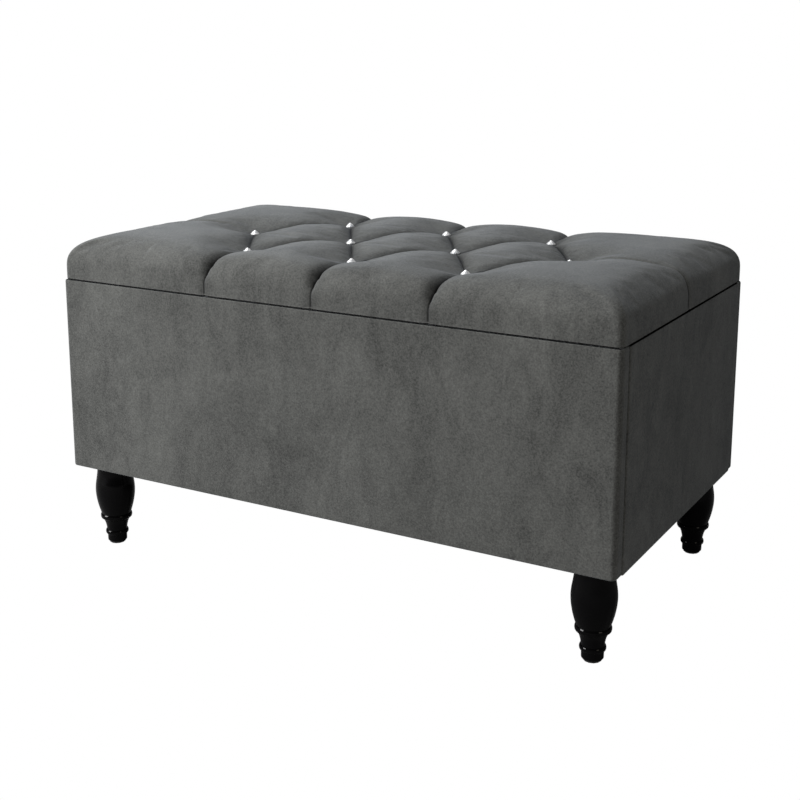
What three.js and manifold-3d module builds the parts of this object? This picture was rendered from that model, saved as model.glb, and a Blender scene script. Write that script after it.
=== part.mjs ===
// Storage bench: an upholstered box on four turned legs, with a buttoned seat as its hinged lid.
// Millimetres. +X runs along the length, +Y to the back, +Z up; the origin is on the floor, under the centre.
import * as THREE from "three";
import { mergeVertices } from "three/addons/utils/BufferGeometryUtils.js";
import Module from "manifold-3d";

const wasm = await Module();
wasm.setup();

// ---- Driving dimensions ----
const LENGTH = 850; // over the two end panels
const DEPTH = 478; // over the front and back panels
const LEG_HEIGHT = 126; // floor to the underside of the box
const BOX_HEIGHT = 279; // underside to the rim
const SEAM = 2; // open joint between the rim and the lid
const SEAT_TOP = 464; // highest point of the seat above the floor
const CLEAR = 0.3; // gap between pieces that touch

// Panels
const PANEL = 21; // a padded panel's full thickness
const PADDING = 3; // velvet and wadding over a board
const END_PROUD = 1.5; // the end panels stand this far past the front and back panels
const PANEL_ROUND = 8; // vertical corner of the front and back panels

// Base, corner blocks and lining
const BASE_BOARD = 15;
const CLOTH = 1; // lining and dust cover
const BLOCK_SIDE = 43;
const BLOCK_HEIGHT = 60;

// Legs
const LEG_INSET = 43; // leg axis to the outer faces
const BOLT_RADIUS = 4;
const BOLT_LOW = 90;
const BOLT_HIGH = 180;
const GLIDE_HEIGHT = 3;

// Lid
const LID_INSET = 2.5; // the lid is this much smaller than the box on each side
const LID_BOARD = 15;
const LID_COVER = 2.5; // velvet over the seat
const LID_LIP = 28; // width of velvet turned under the lid
const EDGE_IN = 12; // seat edge rounding, horizontally
const EDGE_DROP = 25; // seat edge rounding, vertically
const CREASE = { half: 9, depth: 14 }; // deep fold between two buttons
const END_FOLD = { half: 7, depth: 6 }; // soft fold from an end button to the lid's end
const BUTTON_STEP = 171.4; // between buttons of one row
const BUTTON_ROW = 135.5; // between rows
const BUTTON_FLOOR = 449.7; // bottom of the pit that a button sits in
const PIT = { floor: 8, rim: 17 }; // radii of that pit at its bottom and at the seat's top
const BUTTON = { back: 6.2, girdle: 6.75, table: 3.6, girdleUp: 2, tableUp: 6, tip: 7 };

// Hinges
const HINGE_X = 250;
const LEAF = { half: 30, width: 18, thick: 1.5 };
const KNUCKLE = { radius: 2.5, bore: 1.4, count: 5 };
const PIN_RADIUS = 1.1;

// Folding stays, as offsets from the hinge axis along Y and Z
const STAY_BOX_PIVOT = { y: -40, z: -130 };
const STAY_LID_PIVOT = { y: -130, z: -14 };
const ARM = { half: 6, thick: 2, hole: 2.9 };
const STUD_RADIUS = 2.5;
const HEAD = { radius: 4.5, thick: 1 };
const PLATE = 1.5; // bracket plate thickness
const STAY_GAP = 0.5; // between the layers of a stay
const BOX_PLATE = { y: 15, z: 18 }; // half sizes
const LID_PLATE = { wide: 22, y: 14 };
const LID_EAR = 9; // half length of the upright part, and its reach below the pivot
const ROOT = 0.5; // a stud goes this far into what it is made in one with

// Bumpers
const BUMPER = { radius: 6, inset: 9 };

// ---- Levels and faces that follow from them ----
const RIM = LEG_HEIGHT + BOX_HEIGHT;
const LID_BOTTOM = RIM + SEAM;
const INNER_X = LENGTH / 2 - PANEL;
const INNER_Y = DEPTH / 2 - PANEL;
const BASE_LOW = LEG_HEIGHT + CLOTH + CLEAR;
const BASE_HIGH = BASE_LOW + BASE_BOARD;
const LEG_X = LENGTH / 2 - LEG_INSET;
const LEG_Y = DEPTH / 2 - LEG_INSET;
const BLOCK_LOW = BASE_HIGH + CLEAR;
const LID_HALF_X = LENGTH / 2 - LID_INSET;
const LID_HALF_Y = DEPTH / 2 - LID_INSET;
const BOARD_LOW = LID_BOTTOM + CLOTH + CLEAR;
const BOARD_HIGH = BOARD_LOW + LID_BOARD;
const AXIS_Y = LID_HALF_Y;
const AXIS_Z = RIM + SEAM / 2;

// ---- Materials ----
const finish = (color, roughness, metalness = 0) =>
  new THREE.MeshStandardMaterial({ color, roughness, metalness });
const velvet = finish(0x4a4c4a, 0.9);
const cloth = finish(0x1d1d1f, 0.95);
const foam = finish(0xd9cf9c, 0.9);
const chipboard = finish(0xb79a6d, 0.8);
const pine = finish(0xd2b27c, 0.7);
const lacquer = finish(0x0b0b0c, 0.25);
const steel = finish(0xb9bbbd, 0.35, 1);
const crystal = finish(0xe6ebf2, 0.05, 0.4);
const rubber = finish(0x161616, 0.8);
const plastic = finish(0x2b2b2c, 0.6);

// ---- Helpers ----
// A closed geometry as a manifold solid, for cutting and joining.
function solid(geometry) {
  const bare = geometry.clone();
  bare.deleteAttribute("normal");
  bare.deleteAttribute("uv");
  const merged = mergeVertices(bare, 1e-3);
  return new wasm.Manifold(
    new wasm.Mesh({
      numProp: 3,
      vertProperties: merged.attributes.position.array,
      triVerts: new Uint32Array(merged.index.array),
    }),
  );
}

// A manifold solid as a geometry.
function geometryOf(manifold) {
  const { vertProperties, triVerts } = manifold.getMesh();
  const geometry = new THREE.BufferGeometry();
  geometry.setAttribute("position", new THREE.BufferAttribute(vertProperties, 3));
  geometry.setIndex(new THREE.BufferAttribute(triVerts, 1));
  geometry.computeVertexNormals();
  return geometry;
}

const join = (solids) => solids.reduce((a, b) => a.add(b));

function mesh(name, geometry, material) {
  const piece = new THREE.Mesh(geometry, material);
  piece.name = name;
  return piece;
}

// A block between two corners.
function block(low, high) {
  const size = low.map((v, i) => high[i] - v);
  const centre = low.map((v, i) => (high[i] + v) / 2);
  return new THREE.BoxGeometry(...size).translate(...centre);
}

// A cylinder along X from x0 to x1, at (y, z).
function rodX(radius, x0, x1, y, z, sides = 12) {
  const geometry = new THREE.CylinderGeometry(radius, radius, Math.abs(x1 - x0), sides);
  return geometry.rotateZ(Math.PI / 2).translate((x0 + x1) / 2, y, z);
}

// A cylinder along Z from z0 to z1, at (x, y).
function rodZ(radius, z0, z1, x, y, sides = 12) {
  const geometry = new THREE.CylinderGeometry(radius, radius, z1 - z0, sides);
  return geometry.rotateX(Math.PI / 2).translate(x, y, (z0 + z1) / 2);
}

// A turned solid about Z from [radius, height] points.
function turned(points, sides) {
  const profile = points.map(([r, z]) => new THREE.Vector2(r, z));
  return new THREE.LatheGeometry(profile, sides).rotateX(Math.PI / 2);
}

// A rectangle about the origin with rounded corners.
function roundedRect(halfX, halfY, radius) {
  const shape = new THREE.Shape();
  const x = halfX - radius;
  const y = halfY - radius;
  shape.absarc(x, y, radius, 0, Math.PI / 2);
  shape.absarc(-x, y, radius, Math.PI / 2, Math.PI);
  shape.absarc(-x, -y, radius, Math.PI, 1.5 * Math.PI);
  shape.absarc(x, -y, radius, 1.5 * Math.PI, 2 * Math.PI);
  return shape;
}

function extruded(shape, z0, z1, curveSegments = 4) {
  const options = { depth: z1 - z0, bevelEnabled: false, curveSegments };
  return new THREE.ExtrudeGeometry(shape, options).translate(0, 0, z0);
}

const corners = [
  ["front_left", -1, -1],
  ["front_right", 1, -1],
  ["back_left", -1, 1],
  ["back_right", 1, 1],
];
const sides = [
  ["left", -1],
  ["right", 1],
];

// The recess that both leaves of a hinge and its knuckle lie in, about x = 0.
function hingeRecess() {
  const low = RIM - LEAF.thick - CLEAR;
  const high = LID_BOTTOM + LEAF.thick + CLEAR;
  const reach = LEAF.half + CLEAR;
  return solid(block([-reach, INNER_Y - 1, low], [reach, DEPTH / 2 + 1, high]));
}
const hingeRecesses = join(sides.map(([, sign]) => hingeRecess().translate([sign * HINGE_X, 0, 0])));

// ---- Box ----
const box = new THREE.Group();

// A padded panel standing on z = 0, its inner face on y = 0 and its outer face towards -Y.
// The cover wraps the board's outer face and its four edges.
function panel(name, halfWidth, round, cuts) {
  const outline = new THREE.Shape();
  outline.moveTo(halfWidth, 0);
  outline.lineTo(-halfWidth, 0);
  outline.absarc(-halfWidth + round, -PANEL + round, round, Math.PI, 1.5 * Math.PI);
  outline.absarc(halfWidth - round, -PANEL + round, round, 1.5 * Math.PI, 2 * Math.PI);
  const inside = halfWidth - PADDING;
  const hollow = block([-inside, -PANEL + PADDING, PADDING], [inside, 1, BOX_HEIGHT - PADDING]);
  const tuck = PADDING + CLEAR;
  const board = block(
    [-halfWidth + tuck, -PANEL + tuck, tuck],
    [halfWidth - tuck, 0, BOX_HEIGHT - tuck],
  );
  const cover = solid(extruded(outline, 0, BOX_HEIGHT)).subtract(solid(hollow));
  const group = new THREE.Group();
  const trim = (piece) => (cuts ? piece.subtract(cuts) : piece);
  group.add(mesh(name + "_panel_board", geometryOf(trim(solid(board))), chipboard));
  group.add(mesh(name + "_panel_cover", geometryOf(trim(cover)), velvet));
  return group;
}

const longHalf = LENGTH / 2 - END_PROUD;
const endHalf = INNER_Y - CLEAR;
const frontPanel = panel("front", longHalf, PANEL_ROUND);
frontPanel.position.set(0, -INNER_Y, LEG_HEIGHT);
const backCuts = hingeRecesses.translate([0, -INNER_Y, -LEG_HEIGHT]).rotate([0, 0, 180]);
const backPanel = panel("back", longHalf, PANEL_ROUND, backCuts);
backPanel.position.set(0, INNER_Y, LEG_HEIGHT);
backPanel.rotation.z = Math.PI;
box.add(frontPanel, backPanel);
for (const [side, sign] of sides) {
  const endPanel = panel(side, endHalf, END_PROUD);
  endPanel.position.set(sign * INNER_X, 0, LEG_HEIGHT);
  endPanel.rotation.z = (sign * Math.PI) / 2;
  box.add(endPanel);
}

// Base board, and the cloth under it, both bored for the leg bolts.
const boltBores = join(
  corners.map(([, sx, sy]) =>
    solid(rodZ(BOLT_RADIUS + CLEAR, LEG_HEIGHT - 1, BOLT_HIGH + CLEAR, sx * LEG_X, sy * LEG_Y)),
  ),
);
const insideX = INNER_X - CLEAR;
const insideY = INNER_Y - CLEAR;
const base = solid(block([-insideX, -insideY, BASE_LOW], [insideX, insideY, BASE_HIGH]));
const dust = solid(
  block([-insideX, -insideY, LEG_HEIGHT], [insideX, insideY, LEG_HEIGHT + CLOTH]),
);
box.add(mesh("base_board", geometryOf(base.subtract(boltBores)), chipboard));
box.add(mesh("base_dust_cover", geometryOf(dust.subtract(boltBores)), cloth));

// A corner block grown by a margin on every side, standing in the corner (sx, sy).
function cornerBlock(sx, sy, margin) {
  const half = BLOCK_SIDE / 2 + margin;
  const x = sx * LEG_X;
  const y = sy * LEG_Y;
  return solid(
    block(
      [x - half, y - half, BLOCK_LOW - margin],
      [x + half, y + half, BLOCK_LOW + BLOCK_HEIGHT + margin],
    ),
  );
}
for (const [place, sx, sy] of corners) {
  const piece = cornerBlock(sx, sy, 0).subtract(boltBores);
  box.add(mesh("corner_block_" + place, geometryOf(piece), pine));
}

// Lining: an open tray of cloth over the walls, the floor and the corner blocks.
function liningCore(inset, low, high) {
  const x = insideX - inset;
  const y = insideY - inset;
  const core = solid(block([-x, -y, low], [x, y, high]));
  return core.subtract(join(corners.map(([, sx, sy]) => cornerBlock(sx, sy, CLEAR + inset))));
}
const liningTop = RIM - PADDING;
const lining = liningCore(0, BLOCK_LOW, liningTop).subtract(
  liningCore(CLOTH, BLOCK_LOW + CLOTH, liningTop + 1),
);
box.add(mesh("box_lining", geometryOf(lining), cloth));

// Turned leg, from the glide's nail hole at the foot to the bolt's bore at the top.
const belly = new THREE.SplineCurve([
  new THREE.Vector2(22.3, 48.5),
  new THREE.Vector2(26.2, 63),
  new THREE.Vector2(28.8, 83),
  new THREE.Vector2(27, 100),
  new THREE.Vector2(24.5, LEG_HEIGHT - CLEAR),
]);
const neck = new THREE.SplineCurve([
  new THREE.Vector2(15, 22.5),
  new THREE.Vector2(16.2, 30),
  new THREE.Vector2(19.5, 38.2),
]);
const NAIL = { hole: 1.6, top: 12 };
const legProfile = [
  [0, NAIL.top + CLEAR],
  [NAIL.hole, NAIL.top + CLEAR],
  [NAIL.hole, GLIDE_HEIGHT + CLEAR],
  [13.6, GLIDE_HEIGHT + CLEAR],
  [14.1, 4.2],
  [14.1, 13.5],
  [16, 14.5],
  [16.7, 17.5],
  [16, 20.5],
  ...neck.getPoints(3).map((p) => [p.x, p.y]),
  [22.4, 40],
  [23.1, 43],
  [22.6, 46],
  ...belly.getPoints(7).map((p) => [p.x, p.y]),
  [BOLT_RADIUS + CLEAR, LEG_HEIGHT - CLEAR],
  [BOLT_RADIUS + CLEAR, BOLT_LOW - CLEAR],
  [0, BOLT_LOW - CLEAR],
];
const glideProfile = [
  [0, 0],
  [11, 0],
  [12, 1],
  [12, GLIDE_HEIGHT],
  [NAIL.hole - 0.4, GLIDE_HEIGHT],
  [NAIL.hole - 0.4, NAIL.top],
  [0, NAIL.top],
];
for (const [place, sx, sy] of corners) {
  const foot = new THREE.Group();
  foot.position.set(sx * LEG_X, sy * LEG_Y, 0);
  foot.add(mesh("leg_" + place, turned(legProfile, 16), lacquer));
  foot.add(mesh("leg_bolt_" + place, rodZ(BOLT_RADIUS, BOLT_LOW, BOLT_HIGH, 0, 0), steel));
  foot.add(mesh("leg_glide_" + place, turned(glideProfile, 12), plastic));
  box.add(foot);
}

// ---- Lid ----
const lid = new THREE.Group();

// The seat's outer form shrunk by an inset, from z = low up: straight sides and an elliptic top edge.
function cushion(inset, low) {
  const shape = roundedRect(LID_HALF_X - EDGE_IN - inset, LID_HALF_Y - EDGE_IN - inset, 1);
  const start = LID_BOTTOM - 5;
  const geometry = new THREE.ExtrudeGeometry(shape, {
    depth: SEAT_TOP - inset - EDGE_DROP - start,
    bevelThickness: EDGE_DROP,
    bevelSize: EDGE_IN,
    bevelSegments: 3,
    curveSegments: 3,
  }).translate(0, 0, start);
  const above = block([-LENGTH, -DEPTH, low], [LENGTH, DEPTH, SEAT_TOP + 1]);
  return solid(geometry).intersect(solid(above));
}

// Button places: four along the middle row, three along the front row and three along the back row.
const buttons = [];
for (const i of [-1.5, -0.5, 0.5, 1.5]) buttons.push([i * BUTTON_STEP, 0]);
for (const row of [-1, 1])
  for (const i of [-1, 0, 1]) buttons.push([i * BUTTON_STEP, row * BUTTON_ROW]);

// A V-shaped fold along the seat from one point to another, grown by a margin.
function fold([x0, y0], [x1, y1], { half, depth }, margin) {
  const slope = Math.hypot(half, depth);
  const h = half + (margin * slope) / depth;
  const d = depth + (margin * slope) / half;
  const over = 6; // height that the cutter stands above the seat
  const wide = h * (1 + over / d);
  const section = new THREE.Shape();
  section.moveTo(-wide, SEAT_TOP + over);
  section.lineTo(0, SEAT_TOP - d);
  section.lineTo(wide, SEAT_TOP + over);
  const along = new THREE.Vector3(x1 - x0, y1 - y0, 0);
  const reach = along.length();
  along.normalize();
  const up = new THREE.Vector3(0, 0, 1);
  const across = new THREE.Vector3().crossVectors(up, along);
  const turn = new THREE.Matrix4().makeBasis(across, up, along).setPosition(x0, y0, 0);
  return solid(extruded(section, 0, reach).applyMatrix4(turn));
}

const PIT_OVER = 6; // how far a pit's cutter goes on above the seat
const WALL_SLANT = 1.3; // a pit's wall moves out by this much of the margin

// Everything that dents the seat: a pit at each button and the folds between them, grown by a margin.
function dents(margin) {
  const cutters = buttons.map(([x, y]) => {
    const pit = [
      [0, BUTTON_FLOOR - margin],
      [PIT.floor + margin, BUTTON_FLOOR - margin],
      [PIT.rim + WALL_SLANT * margin, SEAT_TOP],
      [PIT.rim + PIT_OVER + WALL_SLANT * margin, SEAT_TOP + PIT_OVER],
      [0, SEAT_TOP + PIT_OVER],
    ];
    return solid(turned(pit, 8).translate(x, y, 0));
  });
  for (const [x0, y0] of buttons)
    for (const [x1, y1] of buttons) {
      const neighbours = y0 === 0 && y1 !== 0 && Math.abs(x1 - x0) < 0.6 * BUTTON_STEP;
      if (neighbours) cutters.push(fold([x0, y0], [x1, y1], CREASE, margin));
    }
  for (const [x, y] of buttons) {
    if (y !== 0) cutters.push(fold([x, y], [x, Math.sign(y) * DEPTH], CREASE, margin));
    if (Math.abs(x) > BUTTON_STEP && y === 0)
      cutters.push(fold([x, 0], [Math.sign(x) * LENGTH, 0], END_FOLD, margin));
  }
  return join(cutters);
}

const SHANK = { radius: 1.5, hole: 2 };
const shankHoles = join(
  buttons.map(([x, y]) => solid(rodZ(SHANK.hole, BOARD_HIGH, SEAT_TOP, x, y, 8))),
);
const lipInset = LID_INSET + LID_LIP;
const lipOpening = solid(
  block(
    [-LENGTH / 2 + lipInset, -DEPTH / 2 + lipInset, LID_BOTTOM - 1],
    [LENGTH / 2 - lipInset, DEPTH / 2 - lipInset, LID_BOTTOM + CLOTH + 1],
  ),
);
const coverInside = cushion(LID_COVER, LID_BOTTOM + CLOTH).subtract(dents(LID_COVER));
const cover = cushion(0, LID_BOTTOM)
  .subtract(dents(0))
  .subtract(coverInside)
  .subtract(shankHoles)
  .subtract(lipOpening)
  .subtract(hingeRecesses);
lid.add(mesh("seat_cover", geometryOf(cover), velvet));

const foamInset = LID_COVER + CLEAR;
const pad = cushion(foamInset, BOARD_HIGH + CLEAR).subtract(dents(foamInset)).subtract(shankHoles);
lid.add(mesh("seat_foam", geometryOf(pad), foam));

const boardOutline = roundedRect(LID_HALF_X - foamInset, LID_HALF_Y - foamInset, EDGE_IN + 1);
const lidBoard = solid(extruded(boardOutline, BOARD_LOW, BOARD_HIGH)).subtract(hingeRecesses);
lid.add(mesh("lid_board", geometryOf(lidBoard), chipboard));

const liningHalfX = LENGTH / 2 - lipInset - CLEAR;
const liningHalfY = DEPTH / 2 - lipInset - CLEAR;
const lidLining = block(
  [-liningHalfX, -liningHalfY, LID_BOTTOM],
  [liningHalfX, liningHalfY, LID_BOTTOM + CLOTH],
);
lid.add(mesh("lid_lining", lidLining, cloth));

// Crystal button with the shank that holds it down to the lid board.
const buttonBase = BUTTON_FLOOR + CLEAR;
const buttonProfile = [
  [0, BOARD_HIGH + CLEAR],
  [SHANK.radius, BOARD_HIGH + CLEAR],
  [SHANK.radius, buttonBase],
  [BUTTON.back, buttonBase],
  [BUTTON.girdle, buttonBase + BUTTON.girdleUp],
  [BUTTON.table, buttonBase + BUTTON.tableUp],
  [0, buttonBase + BUTTON.tip],
];
buttons.forEach(([x, y], i) => {
  const button = mesh("crystal_button_" + (i + 1), turned(buttonProfile, 8), crystal);
  button.position.set(x, y, 0);
  lid.add(button);
});

// ---- Hinges ----
// One leaf about x = 0: a plate from z0 to z1, and a knuckle on each of its own places along the pin.
function hingeLeaf(z0, z1, places) {
  const pitch = (2 * LEAF.half) / KNUCKLE.count;
  const plateEdge = AXIS_Y - KNUCKLE.radius - 0.4;
  const plateStart = AXIS_Y - LEAF.width;
  let leaf = solid(block([-LEAF.half, plateStart, z0], [LEAF.half, plateEdge, z1]));
  for (const place of places) {
    const x0 = -LEAF.half + place * pitch + 0.2;
    const x1 = x0 + pitch - 0.4;
    leaf = leaf.add(solid(block([x0, plateEdge - 1, z0], [x1, AXIS_Y, z1])));
    leaf = leaf.add(solid(rodX(KNUCKLE.radius, x0, x1, AXIS_Y, AXIS_Z)));
  }
  const reach = LEAF.half + 1;
  return leaf.subtract(solid(rodX(KNUCKLE.bore, -reach, reach, AXIS_Y, AXIS_Z)));
}
for (const [side, sign] of sides) {
  const onBox = mesh(
    "hinge_box_leaf_" + side,
    geometryOf(hingeLeaf(RIM - LEAF.thick, RIM, [0, 2, 4])),
    steel,
  );
  const onLid = mesh(
    "hinge_lid_leaf_" + side,
    geometryOf(hingeLeaf(LID_BOTTOM, LID_BOTTOM + LEAF.thick, [1, 3])),
    steel,
  );
  const pin = mesh(
    "hinge_pin_" + side,
    rodX(PIN_RADIUS, -LEAF.half, LEAF.half, AXIS_Y, AXIS_Z),
    steel,
  );
  for (const piece of [onBox, onLid, pin]) piece.position.x = sign * HINGE_X;
  box.add(onBox, pin);
  lid.add(onLid);
}

// ---- Folding stays ----
// Hinge axis, box pivot, knee and lid pivot are the corners of a parallelogram, so with the lid at
// angle a the lower arm turns by a and the upper arm keeps its direction.
const boxPivot = { y: AXIS_Y + STAY_BOX_PIVOT.y, z: AXIS_Z + STAY_BOX_PIVOT.z };
const lidPivot = { y: AXIS_Y + STAY_LID_PIVOT.y, z: AXIS_Z + STAY_LID_PIVOT.z };
const knee = { y: boxPivot.y + STAY_LID_PIVOT.y, z: boxPivot.z + STAY_LID_PIVOT.z };

// Layers of a stay from the end wall inwards, as distances from x = 0.
const wallFace = insideX - CLOTH;
const plateOut = wallFace - CLEAR;
const plateIn = plateOut - PLATE;
const lowerOut = plateIn - STAY_GAP;
const lowerIn = lowerOut - ARM.thick;
const upperOut = lowerIn - STAY_GAP;
const upperIn = upperOut - ARM.thick;

// A flat arm in the YZ plane between two pivots, with a hole at each.
function armGeometry(from, to, x0, x1) {
  const angle = Math.atan2(to.z - from.z, to.y - from.y);
  const quarter = Math.PI / 2;
  const shape = new THREE.Shape();
  shape.absarc(to.y, to.z, ARM.half, angle - quarter, angle + quarter);
  shape.absarc(from.y, from.z, ARM.half, angle + quarter, angle + 3 * quarter);
  for (const pivot of [from, to]) {
    const hole = new THREE.Path();
    hole.absarc(pivot.y, pivot.z, ARM.hole, 0, 2 * Math.PI);
    shape.holes.push(hole);
  }
  const low = Math.min(x0, x1);
  const high = Math.max(x0, x1);
  // Shape x, y and depth become Y, Z and X.
  const turn = new THREE.Matrix4().makeBasis(
    new THREE.Vector3(0, 1, 0),
    new THREE.Vector3(0, 0, 1),
    new THREE.Vector3(1, 0, 0),
  );
  return extruded(shape, low, high, 8).applyMatrix4(turn);
}

// A block whose X limits are distances from x = 0 on one side.
function sideBlock(sign, xIn, xOut, low, high) {
  const x0 = Math.min(sign * xIn, sign * xOut);
  const x1 = Math.max(sign * xIn, sign * xOut);
  return solid(block([x0, ...low], [x1, ...high]));
}

const stays = new THREE.Group();
for (const [side, sign] of sides) {
  const rod = (radius, xOut, xIn, at) => solid(rodX(radius, sign * xOut, sign * xIn, at.y, at.z));

  const boxPlate = sideBlock(
    sign,
    plateIn,
    plateOut,
    [boxPivot.y - BOX_PLATE.y, boxPivot.z - BOX_PLATE.z],
    [boxPivot.y + BOX_PLATE.y, boxPivot.z + BOX_PLATE.z],
  );
  const boxStudEnd = lowerIn - CLEAR;
  const boxBracket = boxPlate
    .add(rod(STUD_RADIUS, plateIn + ROOT, boxStudEnd - ROOT, boxPivot))
    .add(rod(HEAD.radius, boxStudEnd, boxStudEnd - HEAD.thick, boxPivot));
  stays.add(mesh("stay_box_bracket_" + side, geometryOf(boxBracket), steel));

  const lower = armGeometry(boxPivot, knee, sign * lowerOut, sign * lowerIn);
  const upper = armGeometry(knee, lidPivot, sign * upperOut, sign * upperIn);
  stays.add(mesh("stay_lower_arm_" + side, lower, steel));
  stays.add(mesh("stay_upper_arm_" + side, upper, steel));

  const rivetOut = lowerOut + CLEAR;
  const rivetIn = upperIn - CLEAR;
  const rivet = rod(STUD_RADIUS, rivetOut + ROOT, rivetIn - ROOT, knee)
    .add(rod(HEAD.radius, rivetOut + HEAD.thick, rivetOut, knee))
    .add(rod(HEAD.radius, rivetIn, rivetIn - HEAD.thick, knee));
  stays.add(mesh("stay_knee_rivet_" + side, geometryOf(rivet), steel));

  const plateTop = LID_BOTTOM - CLEAR;
  const lidPlate = sideBlock(
    sign,
    lowerOut - LID_PLATE.wide,
    lowerOut,
    [lidPivot.y - LID_PLATE.y, plateTop - PLATE],
    [lidPivot.y + LID_PLATE.y, plateTop],
  );
  const lidEar = sideBlock(
    sign,
    lowerIn,
    lowerOut,
    [lidPivot.y - LID_EAR, lidPivot.z - LID_EAR],
    [lidPivot.y + LID_EAR, plateTop],
  );
  const lidBracket = lidPlate
    .add(lidEar)
    .add(rod(STUD_RADIUS, lowerIn + ROOT, rivetIn - ROOT, lidPivot))
    .add(rod(HEAD.radius, rivetIn, rivetIn - HEAD.thick, lidPivot));
  stays.add(mesh("stay_lid_bracket_" + side, geometryOf(lidBracket), steel));
}

// ---- Rubber bumpers on the front rim ----
for (const [side, sign] of sides) {
  const y = -(DEPTH / 2 - PANEL / 2);
  const x = sign * (INNER_X - BUMPER.inset);
  const bumper = rodZ(BUMPER.radius, RIM + CLEAR, LID_BOTTOM - CLEAR, x, y);
  box.add(mesh("lid_bumper_" + side, bumper, rubber));
}

const bench = new THREE.Group();
bench.add(box, lid, stays);
export default bench;
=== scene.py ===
"""Storage bench: a velvet box with a deep-buttoned lid on four turned legs. Lengths are in millimetres until MM."""

import math
import random

import bmesh
import bpy
import numpy as np
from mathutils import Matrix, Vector, noise
from mathutils.geometry import delaunay_2d_cdt


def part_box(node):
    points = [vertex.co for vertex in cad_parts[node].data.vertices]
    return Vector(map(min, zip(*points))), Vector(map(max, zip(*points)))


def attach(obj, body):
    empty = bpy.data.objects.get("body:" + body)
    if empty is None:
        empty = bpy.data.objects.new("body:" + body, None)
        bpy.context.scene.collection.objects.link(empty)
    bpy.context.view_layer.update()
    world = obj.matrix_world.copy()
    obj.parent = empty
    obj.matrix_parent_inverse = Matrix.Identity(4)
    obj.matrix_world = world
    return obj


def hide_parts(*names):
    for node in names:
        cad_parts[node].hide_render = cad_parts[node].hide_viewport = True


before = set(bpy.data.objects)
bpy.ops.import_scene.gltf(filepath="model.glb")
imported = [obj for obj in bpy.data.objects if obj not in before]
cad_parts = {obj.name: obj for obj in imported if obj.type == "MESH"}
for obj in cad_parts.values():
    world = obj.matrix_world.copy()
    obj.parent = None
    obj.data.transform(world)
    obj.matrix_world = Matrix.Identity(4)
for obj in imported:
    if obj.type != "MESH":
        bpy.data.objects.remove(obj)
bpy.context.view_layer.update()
scene = bpy.context.scene
MM = 0.001


# ---- Measures from the frame ----
def box_mm(node):
    """Lowest and highest corner of a CAD node, in millimetres."""
    low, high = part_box(node)
    return np.array(low) / MM, np.array(high) / MM


SEAT_LOW, SEAT_HIGH = box_mm("seat_cover")
FRONT_LOW, FRONT_HIGH = box_mm("front_panel_cover")
END_LOW, END_HIGH = box_mm("right_panel_cover")
RIM = FRONT_HIGH[2]
BUTTONS = []
for number in range(1, 11):
    low, high = box_mm(f"crystal_button_{number}")
    BUTTONS.append(((low[0] + high[0]) / 2, (low[1] + high[1]) / 2))
MIDDLE_ROW = [b for b in BUTTONS if abs(b[1]) < 5]
OUTER_ROWS = [b for b in BUTTONS if abs(b[1]) >= 5]
BUTTON_STEP = MIDDLE_ROW[1][0] - MIDDLE_ROW[0][0]


# ---- Camera ----
CAMERA_AT = (0.9217, -1.6077, 0.7626)
CAMERA_YAW, CAMERA_PITCH = -0.522, 0.209
look = Vector(
    (
        math.sin(CAMERA_YAW) * math.cos(CAMERA_PITCH),
        math.cos(CAMERA_YAW) * math.cos(CAMERA_PITCH),
        -math.sin(CAMERA_PITCH),
    )
)
camera_data = bpy.data.cameras.new("camera")
camera_data.sensor_width = 36
camera_data.lens = 59.3
camera_data.shift_y = -0.12
camera = bpy.data.objects.new("camera", camera_data)
camera.location = CAMERA_AT
camera.rotation_euler = look.to_track_quat("-Z", "Y").to_euler()
scene.collection.objects.link(camera)
scene.camera = camera


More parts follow.
